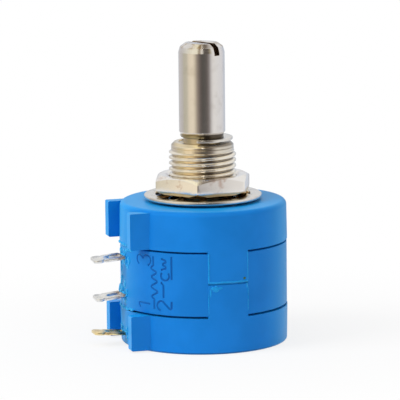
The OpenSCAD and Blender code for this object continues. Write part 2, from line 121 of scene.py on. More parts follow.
def block(near, far):                 # a box between two opposite corners
    clearSelection()
    near, far = Vector(near), Vector(far)
    bpy.ops.mesh.primitive_cube_add(size=1, location=(near + far) / 2, scale=far - near)
    bpy.ops.object.transform_apply(location=True, rotation=True, scale=True)
    return bpy.context.object


def rod(radius, bottom, ceiling, place=(0, 0), sides=48):
    clearSelection()
    bpy.ops.mesh.primitive_cylinder_add(vertices=sides, radius=radius, depth=ceiling - bottom,
                                        location=(*place, (bottom + ceiling) / 2))
    bpy.ops.object.transform_apply(location=True, rotation=True, scale=True)
    return bpy.context.object


def applyLast(piece):
    takeUp(piece)
    bpy.ops.object.modifier_apply(modifier=piece.modifiers[-1].name)


def carve(piece, tool, how="DIFFERENCE", selfCrossing=False):
    takeUp(piece)
    bpy.ops.object.modifier_add(type="BOOLEAN")
    cutter = piece.modifiers[-1]
    cutter.operation = how
    cutter.solver = "EXACT"
    cutter.use_self = selfCrossing
    cutter.object = tool
    applyLast(piece)
    bpy.data.objects.remove(tool)
    return piece


def soften(piece, width, segments=2, angle=35):            # small rounding of every sharp edge
    takeUp(piece)
    bpy.ops.object.modifier_add(type="BEVEL")
    edge = piece.modifiers[-1]
    edge.width = width
    edge.segments = segments
    edge.limit_method = "ANGLE"
    edge.angle_limit = math.radians(angle)
    edge.use_clamp_overlap = True
    applyLast(piece)
    return piece


def bevelPicked(piece, width, segments, test):             # rounds the edges that pass the test
    takeUp(piece)
    bpy.ops.object.mode_set(mode="EDIT")
    bpy.ops.mesh.select_mode(type="EDGE")
    bpy.ops.mesh.select_all(action="DESELECT")
    bpy.ops.object.mode_set(mode="OBJECT")
    for edge in piece.data.edges:
        edge.select = test(*(piece.data.vertices[i].co for i in edge.vertices))
    bpy.ops.object.mode_set(mode="EDIT")
    bpy.ops.mesh.bevel(offset=width, segments=segments, affect="EDGES", offset_type="OFFSET")
    bpy.ops.object.mode_set(mode="OBJECT")


def copyOf(piece, turn):              # a copy with its own mesh, turned round Z
    takeUp(piece)
    bpy.ops.object.duplicate()
    copy = bpy.context.object
    copy.rotation_euler.z = turn
    bpy.ops.object.transform_apply(location=True, rotation=True, scale=True)
    return copy


def turnBy(piece, angle):             # turned round Z by degrees
    takeUp(piece)
    piece.rotation_euler.z = math.radians(angle)
    bpy.ops.object.transform_apply(location=True, rotation=True, scale=True)
    return piece


def joinAll(pieces):
    clearSelection()
    for piece in pieces:
        piece.select_set(True)
    bpy.context.view_layer.objects.active = pieces[0]
    if len(pieces) > 1:
        bpy.ops.object.join()
    return pieces[0]


def roughUp(piece, amount, grain, seed=0.0):               # pushes vertices in or out by smooth noise
    for v in piece.data.vertices:
        push = noise.noise(v.co * grain + Vector((seed, 2 * seed, -seed)))
        v.co += v.normal * push * amount
    piece.data.update()
    return piece


def finishPiece(piece, name, body, slotName, finish, *replaced, smooth=32, evened=False):
    takeUp(piece)
    piece.name = name
    piece.data.name = name
    piece.scale = (mm, mm, mm)
    bpy.ops.object.transform_apply(location=True, rotation=True, scale=True)
    bpy.ops.object.shade_smooth_by_angle(angle=math.radians(smooth))
    if evened:                        # large faces keep their own shading beside small roundings
        bpy.ops.object.modifier_add(type="WEIGHTED_NORMAL")
        piece.modifiers[-1].keep_sharp = True
        applyLast(piece)
    piece.data.materials.clear()
    piece.data.materials.append(finish)
    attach(piece, body)
    if replaced:
        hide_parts(*replaced)
    print("piece ready:", name, len(piece.data.polygons), "faces")
    return piece


class Wire:                           # a node's socket that can be used in sums
    def __init__(self, board, socket):
        self.board = board
        self.socket = socket

    def sum(self, operation, *others):
        return self.board.add("ShaderNodeMath", {"operation": operation}, dict(enumerate(others)))

    def __add__(self, other):
        return self.sum("ADD", self, other)

    def __radd__(self, other):
        return self.sum("ADD", other, self)

    def __sub__(self, other):
        return self.sum("SUBTRACT", self, other)

    def __rsub__(self, other):
        return self.sum("SUBTRACT", other, self)

    def __mul__(self, other):
        return self.sum("MULTIPLY", self, other)

    def __truediv__(self, other):
        return self.sum("DIVIDE", self, other)

    def __abs__(self):
        return self.sum("ABSOLUTE", self)

    def clamped(self, start, end):    # 0 at the start, 1 at the end, smooth between
        return self.board.add("ShaderNodeMapRange", {"interpolation_type": "SMOOTHSTEP"},
                              {"Value": self, "From Min": start, "From Max": end})


class Board:                          # the node tree of one material, floor or world
    def __init__(self, owner):
        owner.use_nodes = True
        self.tree = owner.node_tree
        self.tree.nodes.clear()

    def add(self, kind, settings=None, values=None, out=0):
        made = self.tree.nodes.new(kind)
        for key, value in (settings or {}).items():
            if key == "stops":
                ramp = made.color_ramp
                while len(ramp.elements) < len(value):
                    ramp.elements.new(0.5)
                for element, (place, colour) in zip(ramp.elements, value):
                    element.position = place
                    element.color = (*colour, 1)
            else:
                setattr(made, key, value)
        for key, value in (values or {}).items():
            socket = made.inputs[key]
            if isinstance(value, Wire):
                self.tree.links.new(value.socket, socket)
            elif hasattr(value, "__len__") and socket.type == "RGBA" and len(value) == 3:
                socket.default_value = (*value, 1)
            else:
                socket.default_value = value
        return Wire(self, made.outputs[out])

    def place(self, stretch=(1, 1, 1)):                    # object coordinates in millimetres
        spot = self.add("ShaderNodeTexCoord", out="Object")
        return self.add("ShaderNodeVectorMath", {"operation": "MULTIPLY"},
                        {0: spot, 1: [s / mm for s in stretch]})

    def speckle(self, scale, detail=3.0, stretch=(1, 1, 1), rough=0.5):
        return self.add("ShaderNodeTexNoise", None,
                        {"Vector": self.place(stretch), "Scale": scale, "Detail": detail, "Roughness": rough})

    def along(self, place, direction):                     # how far a place lies in a direction
        return self.add("ShaderNodeVectorMath", {"operation": "DOT_PRODUCT"},
                        {0: place, 1: direction}, "Value")

    def reach(self, place):                                # how far a place lies from the origin
        return self.add("ShaderNodeVectorMath", {"operation": "LENGTH"}, {0: place}, "Value")

    def height(self, place):
        return self.add("ShaderNodeSeparateXYZ", None, {0: place}, "Z")

    def blend(self, factor, a, b):    # colours a and b mixed by the factor
        return self.add("ShaderNodeMix", {"data_type": "RGBA"}, {0: factor, 6: a, 7: b}, out=2)

    def bump(self, height, strength, depth):               # depth in millimetres
        return self.add("ShaderNodeBump", None,
                        {"Height": height, "Strength": strength, "Distance": depth * mm})

    def output(self, shader, kind="ShaderNodeOutputMaterial"):
        made = self.tree.nodes.new(kind)
        self.tree.links.new(shader.socket, made.inputs["Surface"])


# Camera: direction, distance and slight tilt of the shot, in degrees and millimetres
shot = {"turn": 16.25, "elevation": 9.442, "distance": 498.06, "lens": 338.8, "height": 0.352,
        "aimAcross": -0.385, "aimUp": -0.48, "roll": -0.585}

shotTurn = math.radians(shot["turn"])
shotLift = math.radians(shot["elevation"])
viewRight = Vector((math.cos(shotTurn), -math.sin(shotTurn), 0))
viewFront = Vector((-math.sin(shotTurn), -math.cos(shotTurn), 0))
viewOut = viewFront * math.cos(shotLift) + Vector((0, 0, math.sin(shotLift)))
viewUp = viewOut.cross(viewRight)
focus = Vector((0, 0, shot["height"]))
cameraPlace = focus + viewOut * shot["distance"]
aim = focus + viewRight * shot["aimAcross"] + viewUp * shot["aimUp"]

clearSelection()
bpy.ops.object.camera_add(location=cameraPlace * mm)
camera = bpy.context.object
camera.name = "shotCamera"
camera.rotation_mode = "QUATERNION"
camera.rotation_quaternion = (aim - cameraPlace).to_track_quat("-Z", "Y") @ \
    Matrix.Rotation(math.radians(shot["roll"]), 3, "Z").to_quaternion()
camera.data.lens = shot["lens"]
camera.data.sensor_width = 36
camera.data.clip_start = 0.01
bpy.context.scene.camera = camera
bpy.context.scene.view_settings.view_transform = "Standard"
print("camera placed")


def low(name):                        # lowest corner of a CAD node, in millimetres
    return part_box(name)[0] / mm


def high(name):
    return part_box(name)[1] / mm


# Studio: what polished parts see at each bearing, in degrees from the camera, right of it positive
studio = {
    "lowBand": [(-180, (0.66, 0.69, 0.75)), (-135, (0.64, 0.62, 0.62)), (-112, (0.60, 0.57, 0.55)),
                (-99, (0.58, 0.55, 0.44)), (-80, (0.62, 0.58, 0.47)), (-66, (0.88, 0.78, 0.61)),
                (-45, (0.94, 0.83, 0.65)), (-36, (0.80, 0.70, 0.54)), (-24, (0.38, 0.32, 0.26)),
                (-12, (0.19, 0.155, 0.14)), (-2, (0.11, 0.095, 0.085)), (10, (0.105, 0.10, 0.09)),
                (26, (0.14, 0.12, 0.11)), (37, (0.27, 0.24, 0.23)), (46, (0.60, 0.58, 0.57)),
                (56, (0.86, 0.84, 0.82)), (66, (0.88, 0.87, 0.85)), (120, (0.80, 0.80, 0.83)),
                (148, (0.60, 0.65, 0.74)), (180, (0.66, 0.69, 0.75))],
    "highBand": [(-180, (1.0, 0.97, 0.90)), (-172, (0.85, 0.84, 0.82)), (-100, (0.80, 0.79, 0.77)),
                 (-66, (0.90, 0.86, 0.70)), (-50, (1.0, 0.95, 0.78)), (-22, (1.0, 0.94, 0.74)),
                 (-15, (0.30, 0.22, 0.14)), (-5, (0.42, 0.35, 0.26)), (-1, (1.0, 0.95, 0.85)),
                 (5, (0.95, 0.90, 0.80)), (10, (0.10, 0.085, 0.07)), (38, (0.12, 0.10, 0.085)),
                 (48, (0.42, 0.36, 0.22)), (58, (0.85, 0.84, 0.82)), (120, (0.85, 0.85, 0.87)),
                 (172, (0.85, 0.84, 0.82)), (180, (1.0, 0.97, 0.90))],
    "topBand": [(-1.0, (0.88, 0.87, 0.86)), (-0.46, (0.72, 0.69, 0.64)), (-0.36, (0.82, 0.78, 0.70)),
                (-0.26, (0.97, 0.90, 0.70)), (-0.12, (1.0, 0.92, 0.66)), (-0.09, (0.36, 0.28, 0.17)),
                (-0.03, (0.26, 0.20, 0.13)), (-0.005, (1.0, 0.94, 0.80)), (0.035, (0.98, 0.90, 0.76)),
                (0.055, (0.13, 0.10, 0.07)), (0.19, (0.17, 0.13, 0.095)), (0.27, (0.50, 0.45, 0.40)),
                (0.36, (0.68, 0.65, 0.62)), (1.0, (0.86, 0.86, 0.86))],
    "highFrom": 6, "highTo": 24, "topFrom": 48, "topTo": 60, "ambient": 0.46, "floorSize": 6.0,
    "nearFloor": 55, "farFloor": 95, "floorTone": 0.86,
}


def bearingShare(board, direction):   # 0 to 1 once round, from behind the object to behind it again
    across = board.along(direction, viewRight)
    ahead = board.along(direction, viewFront)
    return across.sum("ARCTAN2", across, ahead) / math.tau + 0.5


def bandTint(board, share, band, reach=180):
    stops = [(place / reach / 2 + 0.5, colour) for place, colour in studio[band]]
    return board.add("ShaderNodeValToRGB", {"stops": stops}, {"Fac": share})


def sineOf(name):
    return math.sin(math.radians(studio[name]))


world = bpy.data.worlds.new("studioWorld")
bpy.context.scene.world = world
board = Board(world)
skyward = board.add("ShaderNodeTexCoord", out="Generated")
upward = board.height(skyward)
share = bearingShare(board, skyward)
seenByGloss = board.blend(upward.clamped(sineOf("highFrom"), sineOf("highTo")),
                          bandTint(board, share, "lowBand"), bandTint(board, share, "highBand"))
overhead = bandTint(board, board.along(skyward, viewRight) / 2 + 0.5, "topBand", 1)
seenByGloss = board.blend(upward.clamped(sineOf("topFrom"), sineOf("topTo")), seenByGloss, overhead)
ambient = (studio["ambient"],) * 3
tone = board.blend(board.add("ShaderNodeLightPath", out="Is Glossy Ray"), ambient, seenByGloss)
tone = board.blend(board.add("ShaderNodeLightPath", out="Is Transmission Ray"), tone, seenByGloss)
tone = board.blend(board.add("ShaderNodeLightPath", out="Is Camera Ray"), tone, (1, 1, 1))
board.output(board.add("ShaderNodeBackground", None, {"Color": tone, "Strength": 1}), "ShaderNodeOutputWorld")

clearSelection()
bpy.ops.mesh.primitive_plane_add(size=studio["floorSize"], location=(0, 0, low("rear_cover").z * mm))
floor = bpy.context.object
floor.name = "studioFloor"
floorFinish = bpy.data.materials.new("floorPaper")
board = Board(floorFinish)
spot = board.place()
spread = board.reach(spot)
paper = board.add("ShaderNodeBsdfDiffuse", None, {"Color": (studio["floorTone"],) * 3})
glow = board.add("ShaderNodeEmission", None, {"Color": (1, 1, 1), "Strength": 1})
toCamera = board.add("ShaderNodeLightPath", out="Is Camera Ray")
toGloss = board.add("ShaderNodeLightPath", out="Is Glossy Ray")
fade = spread.clamped(8, 60) * 0.2 + 0.8
seen = board.add("ShaderNodeMixShader", None, {0: toCamera * fade, 1: paper, 2: glow})
tint = board.blend(spread.clamped(studio["nearFloor"], studio["farFloor"]), (0.92, 0.92, 0.92),
                   bandTint(board, bearingShare(board, spot), "lowBand"))
mirrored = board.add("ShaderNodeEmission", None, {"Color": tint, "Strength": 1})
board.output(board.add("ShaderNodeMixShader", None, {0: toGloss, 1: seen, 2: mirrored}))
floor.data.materials.append(floorFinish)
print("studio ready")

# Lamps: [bearing, height angle, distance in mm, size in mm, power in W]; the glint shows in reflections only
lamps = {"keyLamp": (-66, 36, 620, 320, 2.35), "fillLamp": (30, 30, 700, 420, 0.8),
         "topLamp": (-20, 80, 600, 420, 0.6), "glintLamp": (2, 44, 620, 80, 0.10)}
for name, (bearing, rise, away, size, power) in lamps.items():
    side = math.radians(bearing)
    lift = math.radians(rise)
    level = viewFront * math.cos(side) + viewRight * math.sin(side)
    outward = level * math.cos(lift) + Vector((0, 0, math.sin(lift)))
    clearSelection()
    bpy.ops.object.light_add(type="AREA", location=outward * away * mm)
    lamp = bpy.context.object
    lamp.name = name
    lamp.rotation_mode = "QUATERNION"
    lamp.rotation_quaternion = (-outward).to_track_quat("-Z", "Y")
    lamp.data.size = size * mm
    lamp.data.energy = power
    lamp.visible_glossy = name == "glintLamp"
    lamp.visible_diffuse = name != "glintLamp"
print("lamps ready")


def newFinish(name, design, **values):
    material = bpy.data.materials.new(name)
    board = Board(material)
    sockets = design(board, **values)
    shader = board.add("ShaderNodeBsdfPrincipled", None, sockets)
    board.output(shader)
    return material


def fromAxis(board):                  # distance from the shaft's axis in millimetres
    return board.reach(board.place((1, 1, 0)))


def mouldedPlastic(board, colour, shine, groove=0.0, covered=None, footEdge=None):
    patches = board.speckle(0.22, 3)
    grain = board.speckle(7, 2)
    tint = board.blend(patches.clamped(0.3, 0.72), colour, [c * 1.10 + 0.002 for c in colour])
    if groove:                        # painted shade in the sunk marks
        inMark = 1 - fromAxis(board).clamped(groove - 0.06, groove - 0.02)
        tint = board.blend(inMark, tint, [colour[0], colour[1] * 0.58, colour[2] * 0.66])
    height = board.height(board.place())
    if covered:                       # painted shade on the face under the washer
        radius, level, tone = covered
        greasy = (1 - fromAxis(board).clamped(radius, radius + 0.3)) * height.clamped(level, level + 0.1)
        tint = board.blend(greasy, tint, tone)
    if footEdge:                      # painted shade along the edge it stands on
        tint = board.blend(1 - height.clamped(footEdge, footEdge + 0.25), tint, [c * 0.35 for c in colour])
    # painted sheen: lighter and more cyan where the surface is seen edge-on
    slant = board.add("ShaderNodeLayerWeight", None, {"Blend": 0.5}, "Facing")
    tint = board.blend(slant.clamped(0.25, 0.85), tint, [colour[0] * 6, colour[1] * 1.75, colour[2] * 1.3])
    gloss = shine + (grain - 0.5) * 0.12 + (patches - 0.5) * 0.10
    relief = grain * 0.5 + board.speckle(1.1, 2) * 1.4
    return {"Base Color": tint, "Roughness": gloss, "Specular IOR Level": 0.18, "IOR": 1.5,
            "Normal": board.bump(relief, 0.5, 0.012)}


def platedMetal(board, colour, stain, shine, stretch=(1, 1, 1), scratch=9.0, depth=0.004,
                blotches=(0.50, 0.80), dirt=None, grease=None):
    patches = board.speckle(0.55, 4, rough=0.6)
    lines = board.speckle(scratch, 3, stretch)
    tint = board.blend(patches.clamped(*blotches), colour, stain)
    if dirt:                          # painted shade where the radius is small, as in a thread's roots; a band left of the axis, seen from the camera, gets a lighter painted reflection
        inner, outer, rubbed, tone = dirt
        aside = abs(board.along(board.place(), viewRight) + 1.7)
        tone = board.blend(aside.clamped(1.3, 2.9), rubbed, tone)
        tint = board.blend(1 - fromAxis(board).clamped(inner, outer), tint, tone)
    if grease:                        # painted shade: darker and browner below a height
        level, tone = grease
        below = 1 - board.height(board.place()).clamped(level, level + 0.1)
        tint = board.blend(below, tint, tone)
    gloss = shine + (patches - 0.5) * 0.12 + (lines - 0.5) * 0.10
    return {"Base Color": tint, "Metallic": 1.0, "Roughness": gloss, "Normal": board.bump(lines, 0.5, depth)}


def turnedMetal(board, slotTurn, slotReach, slotLow, shaftTop, grooveLow, grooveHigh, neckHigh, **plating):
    look = platedMetal(board, **plating)
    spot = board.place()
    height = board.height(spot)
    side = math.radians(slotTurn)
    aside = abs(board.along(spot, (-math.sin(side), math.cos(side), 0)))
    # painted shade inside the screwdriver slot
    inSlot = (1 - aside.clamped(slotReach - 0.06, slotReach)) * height.clamped(slotLow - 0.06, slotLow)
    tone = board.blend(inSlot, look["Base Color"], (0.50, 0.40, 0.31))
    worn = board.speckle(0.9, 3).clamped(0.45, 0.62) * height.clamped(shaftTop - 0.8, shaftTop - 0.3)
    tone = board.blend(worn, tone, (0.44, 0.33, 0.21))
    # painted shade on the neck above the groove, darker towards the camera's right
    across = board.along(spot, viewRight).clamped(-0.4, 0.9)
    neckTone = board.blend(across, (0.36, 0.30, 0.17), (0.11, 0.09, 0.07))
    overGroove = height.clamped(grooveHigh - 0.03, grooveHigh + 0.03)
    onNeck = overGroove * (1 - height.clamped(neckHigh + 0.03, neckHigh + 0.15))
    tone = board.blend(onNeck, tone, neckTone)
    # painted shade in the ring's groove
    inGroove = height.clamped(grooveLow - 0.05, grooveLow) * (1 - overGroove)
    tone = board.blend(inGroove, tone, (0.56, 0.48, 0.34))
    # painted shade: a dark line where the groove's upper step meets the ring
    atStep = height.clamped(grooveHigh - 0.12, grooveHigh - 0.07) * \
        (1 - height.clamped(grooveHigh + 0.02, grooveHigh + 0.07))
    look["Base Color"] = board.blend(atStep, tone, (0.12, 0.10, 0.06))
    return look


def solderedMetal(board, colour, stain, root, shine):      # a lug, stained where it leaves the wall, with a painted reflection on the gold one
    patches = board.speckle(1.6, 4, rough=0.65)
    fine = board.speckle(6, 3)
    tint = board.blend(patches.clamped(0.45, 0.75), colour, stain)
    along = board.add("ShaderNodeSeparateXYZ", None, {0: board.place()}, "X")
    # near the wall: a stain on the tinned lugs, a painted reflection of the blue wall on the gold lug
    nearWall = along.clamped(-12.9, -11.6) * patches.clamped(0.32, 0.55)
    tint = board.blend(nearWall, tint, root)
    gloss = shine + (patches - 0.5) * 0.2
    return {"Base Color": tint, "Metallic": 1.0, "Roughness": gloss, "Normal": board.bump(fine, 0.6, 0.02)}


def plainInner(board, colour, metal, shine, scale=2.5):
    cloud = board.speckle(scale, 3)
    tint = board.blend(cloud, [c * 0.86 for c in colour], [min(1, c * 1.08) for c in colour])
    return {"Base Color": tint, "Metallic": metal, "Roughness": shine + (cloud - 0.5) * 0.15,
            "Normal": board.bump(cloud, 0.4, 0.01)}


finishes = {
    # the rear cover's bottom edge gets painted shade
    "rearBlue": newFinish("rearBlue", mouldedPlastic, colour=(0.0015, 0.190, 0.61), shine=0.40,
                          footEdge=low("rear_cover").z + 0.08),
    # the front face under the washer gets painted shade
    "frontBlue": newFinish("frontBlue", mouldedPlastic, colour=(0.0015, 0.190, 0.61), shine=0.40,
                           covered=(7.45, -0.4, (0.045, 0.03, 0.02))),
    # the housing's sunk marks, inside the given radius, get painted shade
    "housingBlue": newFinish("housingBlue", mouldedPlastic, colour=(0.0015, 0.178, 0.58), shine=0.42,
                             groove=11.03),
    "meltBlue": newFinish("meltBlue", mouldedPlastic, colour=(0.006, 0.27, 0.66), shine=0.28),
    "burntPlastic": newFinish("burntPlastic", mouldedPlastic, colour=(0.035, 0.11, 0.03), shine=0.4),
    # the bushing: painted shade in its thread roots and below the nut, with a painted warm reflection on one
    # side
    "threadNickel": newFinish("threadNickel", platedMetal, colour=(0.92, 0.86, 0.75),
                              stain=(0.74, 0.66, 0.52), shine=0.17, grease=(1.05, (0.26, 0.17, 0.08)),
                              dirt=(4.0, 4.22, (0.84, 0.72, 0.50), (0.27, 0.23, 0.18))),
    # the nut gets painted shade along its lowest part
    "nutNickel": newFinish("nutNickel", platedMetal, colour=(0.94, 0.91, 0.87), stain=(0.74, 0.61, 0.54),
                           shine=0.19, blotches=(0.50, 0.66), grease=(1.55, (0.66, 0.55, 0.36))),
    "springSteel": newFinish("springSteel", platedMetal, colour=(0.80, 0.77, 0.72), stain=(0.60, 0.52, 0.42),
                             shine=0.24),
    # the teeth inside the rim get the same painted shade with a painted warm reflection on one side
    "toothSteel": newFinish("toothSteel", platedMetal, colour=(0.80, 0.77, 0.72), stain=(0.60, 0.52, 0.42),
                            shine=0.24, dirt=(5.9, 6.4, (0.95, 0.72, 0.38), (0.80, 0.56, 0.26))),
    "tinnedLug": newFinish("tinnedLug", solderedMetal, colour=(0.86, 0.86, 0.85), stain=(0.66, 0.68, 0.68),
                           root=(0.46, 0.38, 0.33), shine=0.3),
    # the gold lug's teal root tone is a painted reflection of the blue wall
    "goldLug": newFinish("goldLug", solderedMetal, colour=(0.92, 0.76, 0.42), stain=(0.50, 0.30, 0.10),
                         root=(0.03, 0.16, 0.15), shine=0.3),
}
print("finishes ready")


# Shaft: [radius, height, fillet] corners from the rear journal to the tip
shaft = {"radius": 3.05, "chamferWidth": 0.9, "chamferHeight": 1.2, "kneeWidth": 0.25, "kneeHeight": 0.6,
         "grooveRadius": 2.5, "grooveLow": 7.7, "grooveHigh": 8.43, "neckRadius": 2.82, "neckHigh": 8.83,
         "shoulder": 0.3, "journal": 1.5, "core": 2.2, "coreLow": -16.95, "coreHigh": -2.85,
         "slotWidth": 0.85, "slotDepth": 1.5, "slotTurn": 116, "worn": 0.13, "edge": 0.05}
s = shaft
shaftTop = high("shaft").z - s["worn"]
tip = s["radius"] - s["chamferWidth"]
knee = s["radius"] - s["chamferWidth"] * s["kneeWidth"]
kneeLevel = shaftTop - s["chamferHeight"] * (1 - s["kneeHeight"])
slotLow = shaftTop - s["slotDepth"]
steel = newFinish("turnedSteel", turnedMetal, slotTurn=s["slotTurn"], slotReach=s["slotWidth"] / 2 + 0.055,
                  slotLow=slotLow, shaftTop=shaftTop, grooveLow=s["grooveLow"], grooveHigh=s["grooveHigh"],
                  neckHigh=s["neckHigh"], colour=(0.80, 0.775, 0.755), stain=(0.72, 0.69, 0.66), shine=0.19,
                  stretch=(0.25, 0.25, 6), scratch=2.0, depth=0.003)
shaftPiece = turned(rounded([
    (0, low("shaft").z), (s["journal"], low("shaft").z, 0.2), (s["journal"], s["coreLow"]),
    (s["core"], s["coreLow"]), (s["core"], s["coreHigh"]), (s["radius"], s["coreHigh"]),
    (s["radius"], s["grooveLow"]), (s["grooveRadius"], s["grooveLow"]), (s["grooveRadius"], s["grooveHigh"]),
    (s["neckRadius"], s["grooveHigh"]), (s["neckRadius"], s["neckHigh"]),
    (s["radius"], s["neckHigh"] + s["shoulder"], 0.2), (s["radius"], shaftTop - s["chamferHeight"], 0.25),
    (knee, kneeLevel, 0.18), (tip, shaftTop, 0.14), (0, shaftTop)]))
slot = block((-4, -s["slotWidth"] / 2, slotLow), (4, s["slotWidth"] / 2, shaftTop + 1))
carve(shaftPiece, turnBy(slot, s["slotTurn"]))
soften(shaftPiece, s["edge"], 2, 50)
finishPiece(shaftPiece, "turnedShaft", "shaft", "shaft_steel", steel, "shaft", evened=True)

# Retaining ring, open towards the rear left
ring = {"radius": 4.02, "inner": 2.5, "low": 8.04, "high": 8.38, "open": 122, "facing": 182,
        "fillet": 0.07, "edge": 0.05, "steps": 110}
r = ring
ringPiece = turned(rounded([(r["inner"], r["low"]), (r["radius"], r["low"], r["fillet"]),
                            (r["radius"], r["high"], r["fillet"]), (r["inner"], r["high"])], 3),
                   r["steps"], math.radians(r["facing"] - r["open"] / 2), math.radians(360 - r["open"]))
soften(ringPiece, r["edge"], 2, 50)
finishPiece(ringPiece, "snapRing", "shaft", "spring_steel", finishes["springSteel"], "retaining_ring")

# Bushing: a core with a right-hand thread, cut to a chamfered end
bushing = {"crest": 4.44, "root": 4.02, "pitch": 0.75, "ridgeStart": 0.08, "turns": 8, "steps": 72,
           "ridgeFoot": (3.9, 0.37), "ridgeShoulder": (4.4, 0.12), "ridgeTop": 0.07, "shank": 0.7,
           "bore": 3.08, "collar": 4.13, "collarLow": 6.62, "top": 7.76, "chamfer": 0.4, "mouth": 0.12,
           "lineAt": 7.06, "lineUnder": 0.09, "lineOver": 0.05, "lineDepth": 0.07,
           "flange": 6.4, "flangeLow": -2.6, "flangeHigh": -1.8, "skin": 0.015}
b = bushing
upperSide = [b["ridgeFoot"], b["ridgeShoulder"], (b["crest"], b["ridgeTop"])]
profile = [(x, -z) for x, z in upperSide] + upperSide[::-1]
ridge = drawLine([(x, 0, z) for x, z in profile + profile[:1]])
bpy.ops.mesh.select_all(action="SELECT")
bpy.ops.mesh.remove_doubles(threshold=0.0005)
bpy.ops.object.mode_set(mode="OBJECT")
ridge.location.z = b["ridgeStart"] + b["pitch"]
bpy.ops.object.transform_apply(location=True, rotation=True, scale=True)
bpy.ops.object.modifier_add(type="SCREW")
winding = ridge.modifiers[-1]
winding.axis = "Z"
winding.screw_offset = b["pitch"]
winding.iterations = b["turns"]
winding.steps = b["steps"]
winding.render_steps = b["steps"]
winding.use_merge_vertices = False
applyLast(ridge)
closeUp(ridge)
core = turned([(b["bore"], b["flangeLow"]), (b["flange"], b["flangeLow"]), (b["flange"], b["flangeHigh"]),
               (b["crest"], b["flangeHigh"]), (b["crest"], b["shank"]), (b["root"], b["shank"] + 0.4),
               (b["root"], b["collarLow"] - 0.1), (b["collar"], b["collarLow"]),
               (b["collar"], b["top"] + 0.5), (b["bore"], b["top"] + 0.5)])
carve(core, ridge, "UNION")
runOut = (b["crest"] - b["collar"]) * math.tan(math.radians(30))
skin = b["collar"] + b["skin"]        # just off the collar, because flush faces would tear
envelope = turned(rounded([
    (0, -4), (8, -4), (8, 0), (b["crest"], 0), (b["crest"], b["collarLow"] - runOut),
    (skin, b["collarLow"]), (skin, b["lineAt"] - b["lineUnder"]), (b["collar"] - b["lineDepth"], b["lineAt"]),
    (skin, b["lineAt"] + b["lineOver"]), (skin, b["top"] - b["chamfer"], 0.3),
    (b["collar"] - b["chamfer"], b["top"], 0.12), (b["bore"] + b["mouth"], b["top"]),
    (b["bore"], b["top"] - b["mouth"]), (0, b["top"] - b["mouth"])]))
carve(core, envelope, "INTERSECT")
finishPiece(core, "threadedBushing", "housing", "nickel_thread", finishes["threadNickel"], "bushing",
            smooth=40)

# Mounting nut: hexagon with a coned top, a countersunk bore and broken edges
nut = {"flats": 11.8, "faceRadius": 5.7, "coneAngle": 30, "seatRadius": 6.15, "seatAngle": 38, "turn": 8,
       "bore": 4.55, "sink": 0.35, "edge": 0.07, "cornerEdge": 0.1}
n = nut
nutLow = low("mounting_nut").z
nutHigh = high("mounting_nut").z
corner = n["flats"] / 2 / math.cos(math.radians(30))
topReach, seatReach = corner + 0.3, corner + 0.1
drop = (topReach - n["faceRadius"]) * math.tan(math.radians(n["coneAngle"]))
climb = (seatReach - n["seatRadius"]) * math.tan(math.radians(n["seatAngle"]))
nutPiece = turnBy(rod(corner, nutLow, nutHigh, sides=6), n["turn"] + 30)
soften(nutPiece, n["cornerEdge"], 3, 50)
cones = turned([(n["bore"] + n["sink"], nutLow), (n["seatRadius"], nutLow), (seatReach, nutLow + climb),
                (topReach, nutHigh - drop), (n["faceRadius"], nutHigh), (n["bore"] + n["sink"], nutHigh),
                (n["bore"], nutHigh - n["sink"]), (n["bore"], nutLow + n["sink"])])
carve(nutPiece, cones, "INTERSECT")
soften(nutPiece, n["edge"], 2, 24)
finishPiece(nutPiece, "hexNut", "nut", "nickel_nut", finishes["nutNickel"], "mounting_nut")

# Lock washer: flat rim and twisted teeth, one modelled and copied round
washer = {"radius": 7.78, "rim": 1.5, "thickness": 0.5, "teeth": 10, "toothWidth": 1.5, "twist": 26,
          "toothTip": 4.75, "flatTip": 0.5, "toothRoot": 0.4, "edge": 0.07, "innerFillet": 0.04,
          "outerFillet": 0.14}
w = washer
rimInner = w["radius"] - w["rim"]
middle = high("lock_washer").z / 2
halfThick = w["thickness"] / 2
under, over = middle - halfThick, middle + halfThick
rim = turned(rounded([(rimInner, under, w["innerFillet"]), (w["radius"], under, w["outerFillet"]),
                      (w["radius"], over, w["outerFillet"]), (rimInner, over, w["innerFillet"])], 4))
rootEnd = rimInner + w["toothRoot"]
tooth = block((w["toothTip"], -w["toothWidth"] / 2, -halfThick), (rootEnd, w["toothWidth"] / 2, halfThick))
soften(tooth, w["edge"], 2)
takeUp(tooth)
bpy.ops.object.mode_set(mode="EDIT")
for cut in (0.4, 0.8, 1.2, 1.6):
    bpy.ops.mesh.select_all(action="SELECT")
    bpy.ops.mesh.bisect(plane_co=(w["toothTip"] + cut, 0, 0), plane_no=(1, 0, 0))
bpy.ops.object.mode_set(mode="OBJECT")
for v in tooth.data.vertices:         # the twist grows from the root towards the tip
    share = min(1, max(0, (rootEnd - v.co.x) / (rootEnd - w["toothTip"] - w["flatTip"])))
    v.co = Matrix.Rotation(math.radians(w["twist"]) * share, 3, "X") @ v.co
tooth.data.transform(Matrix.Translation((0, 0, middle)))
teeth = [copyOf(tooth, math.tau / w["teeth"] * k) for k in range(1, w["teeth"])]
carve(rim, joinAll([tooth] + teeth), "UNION")
finishPiece(rim, "toothedWasher", "washer", "spring_steel", finishes["toothSteel"], "lock_washer")

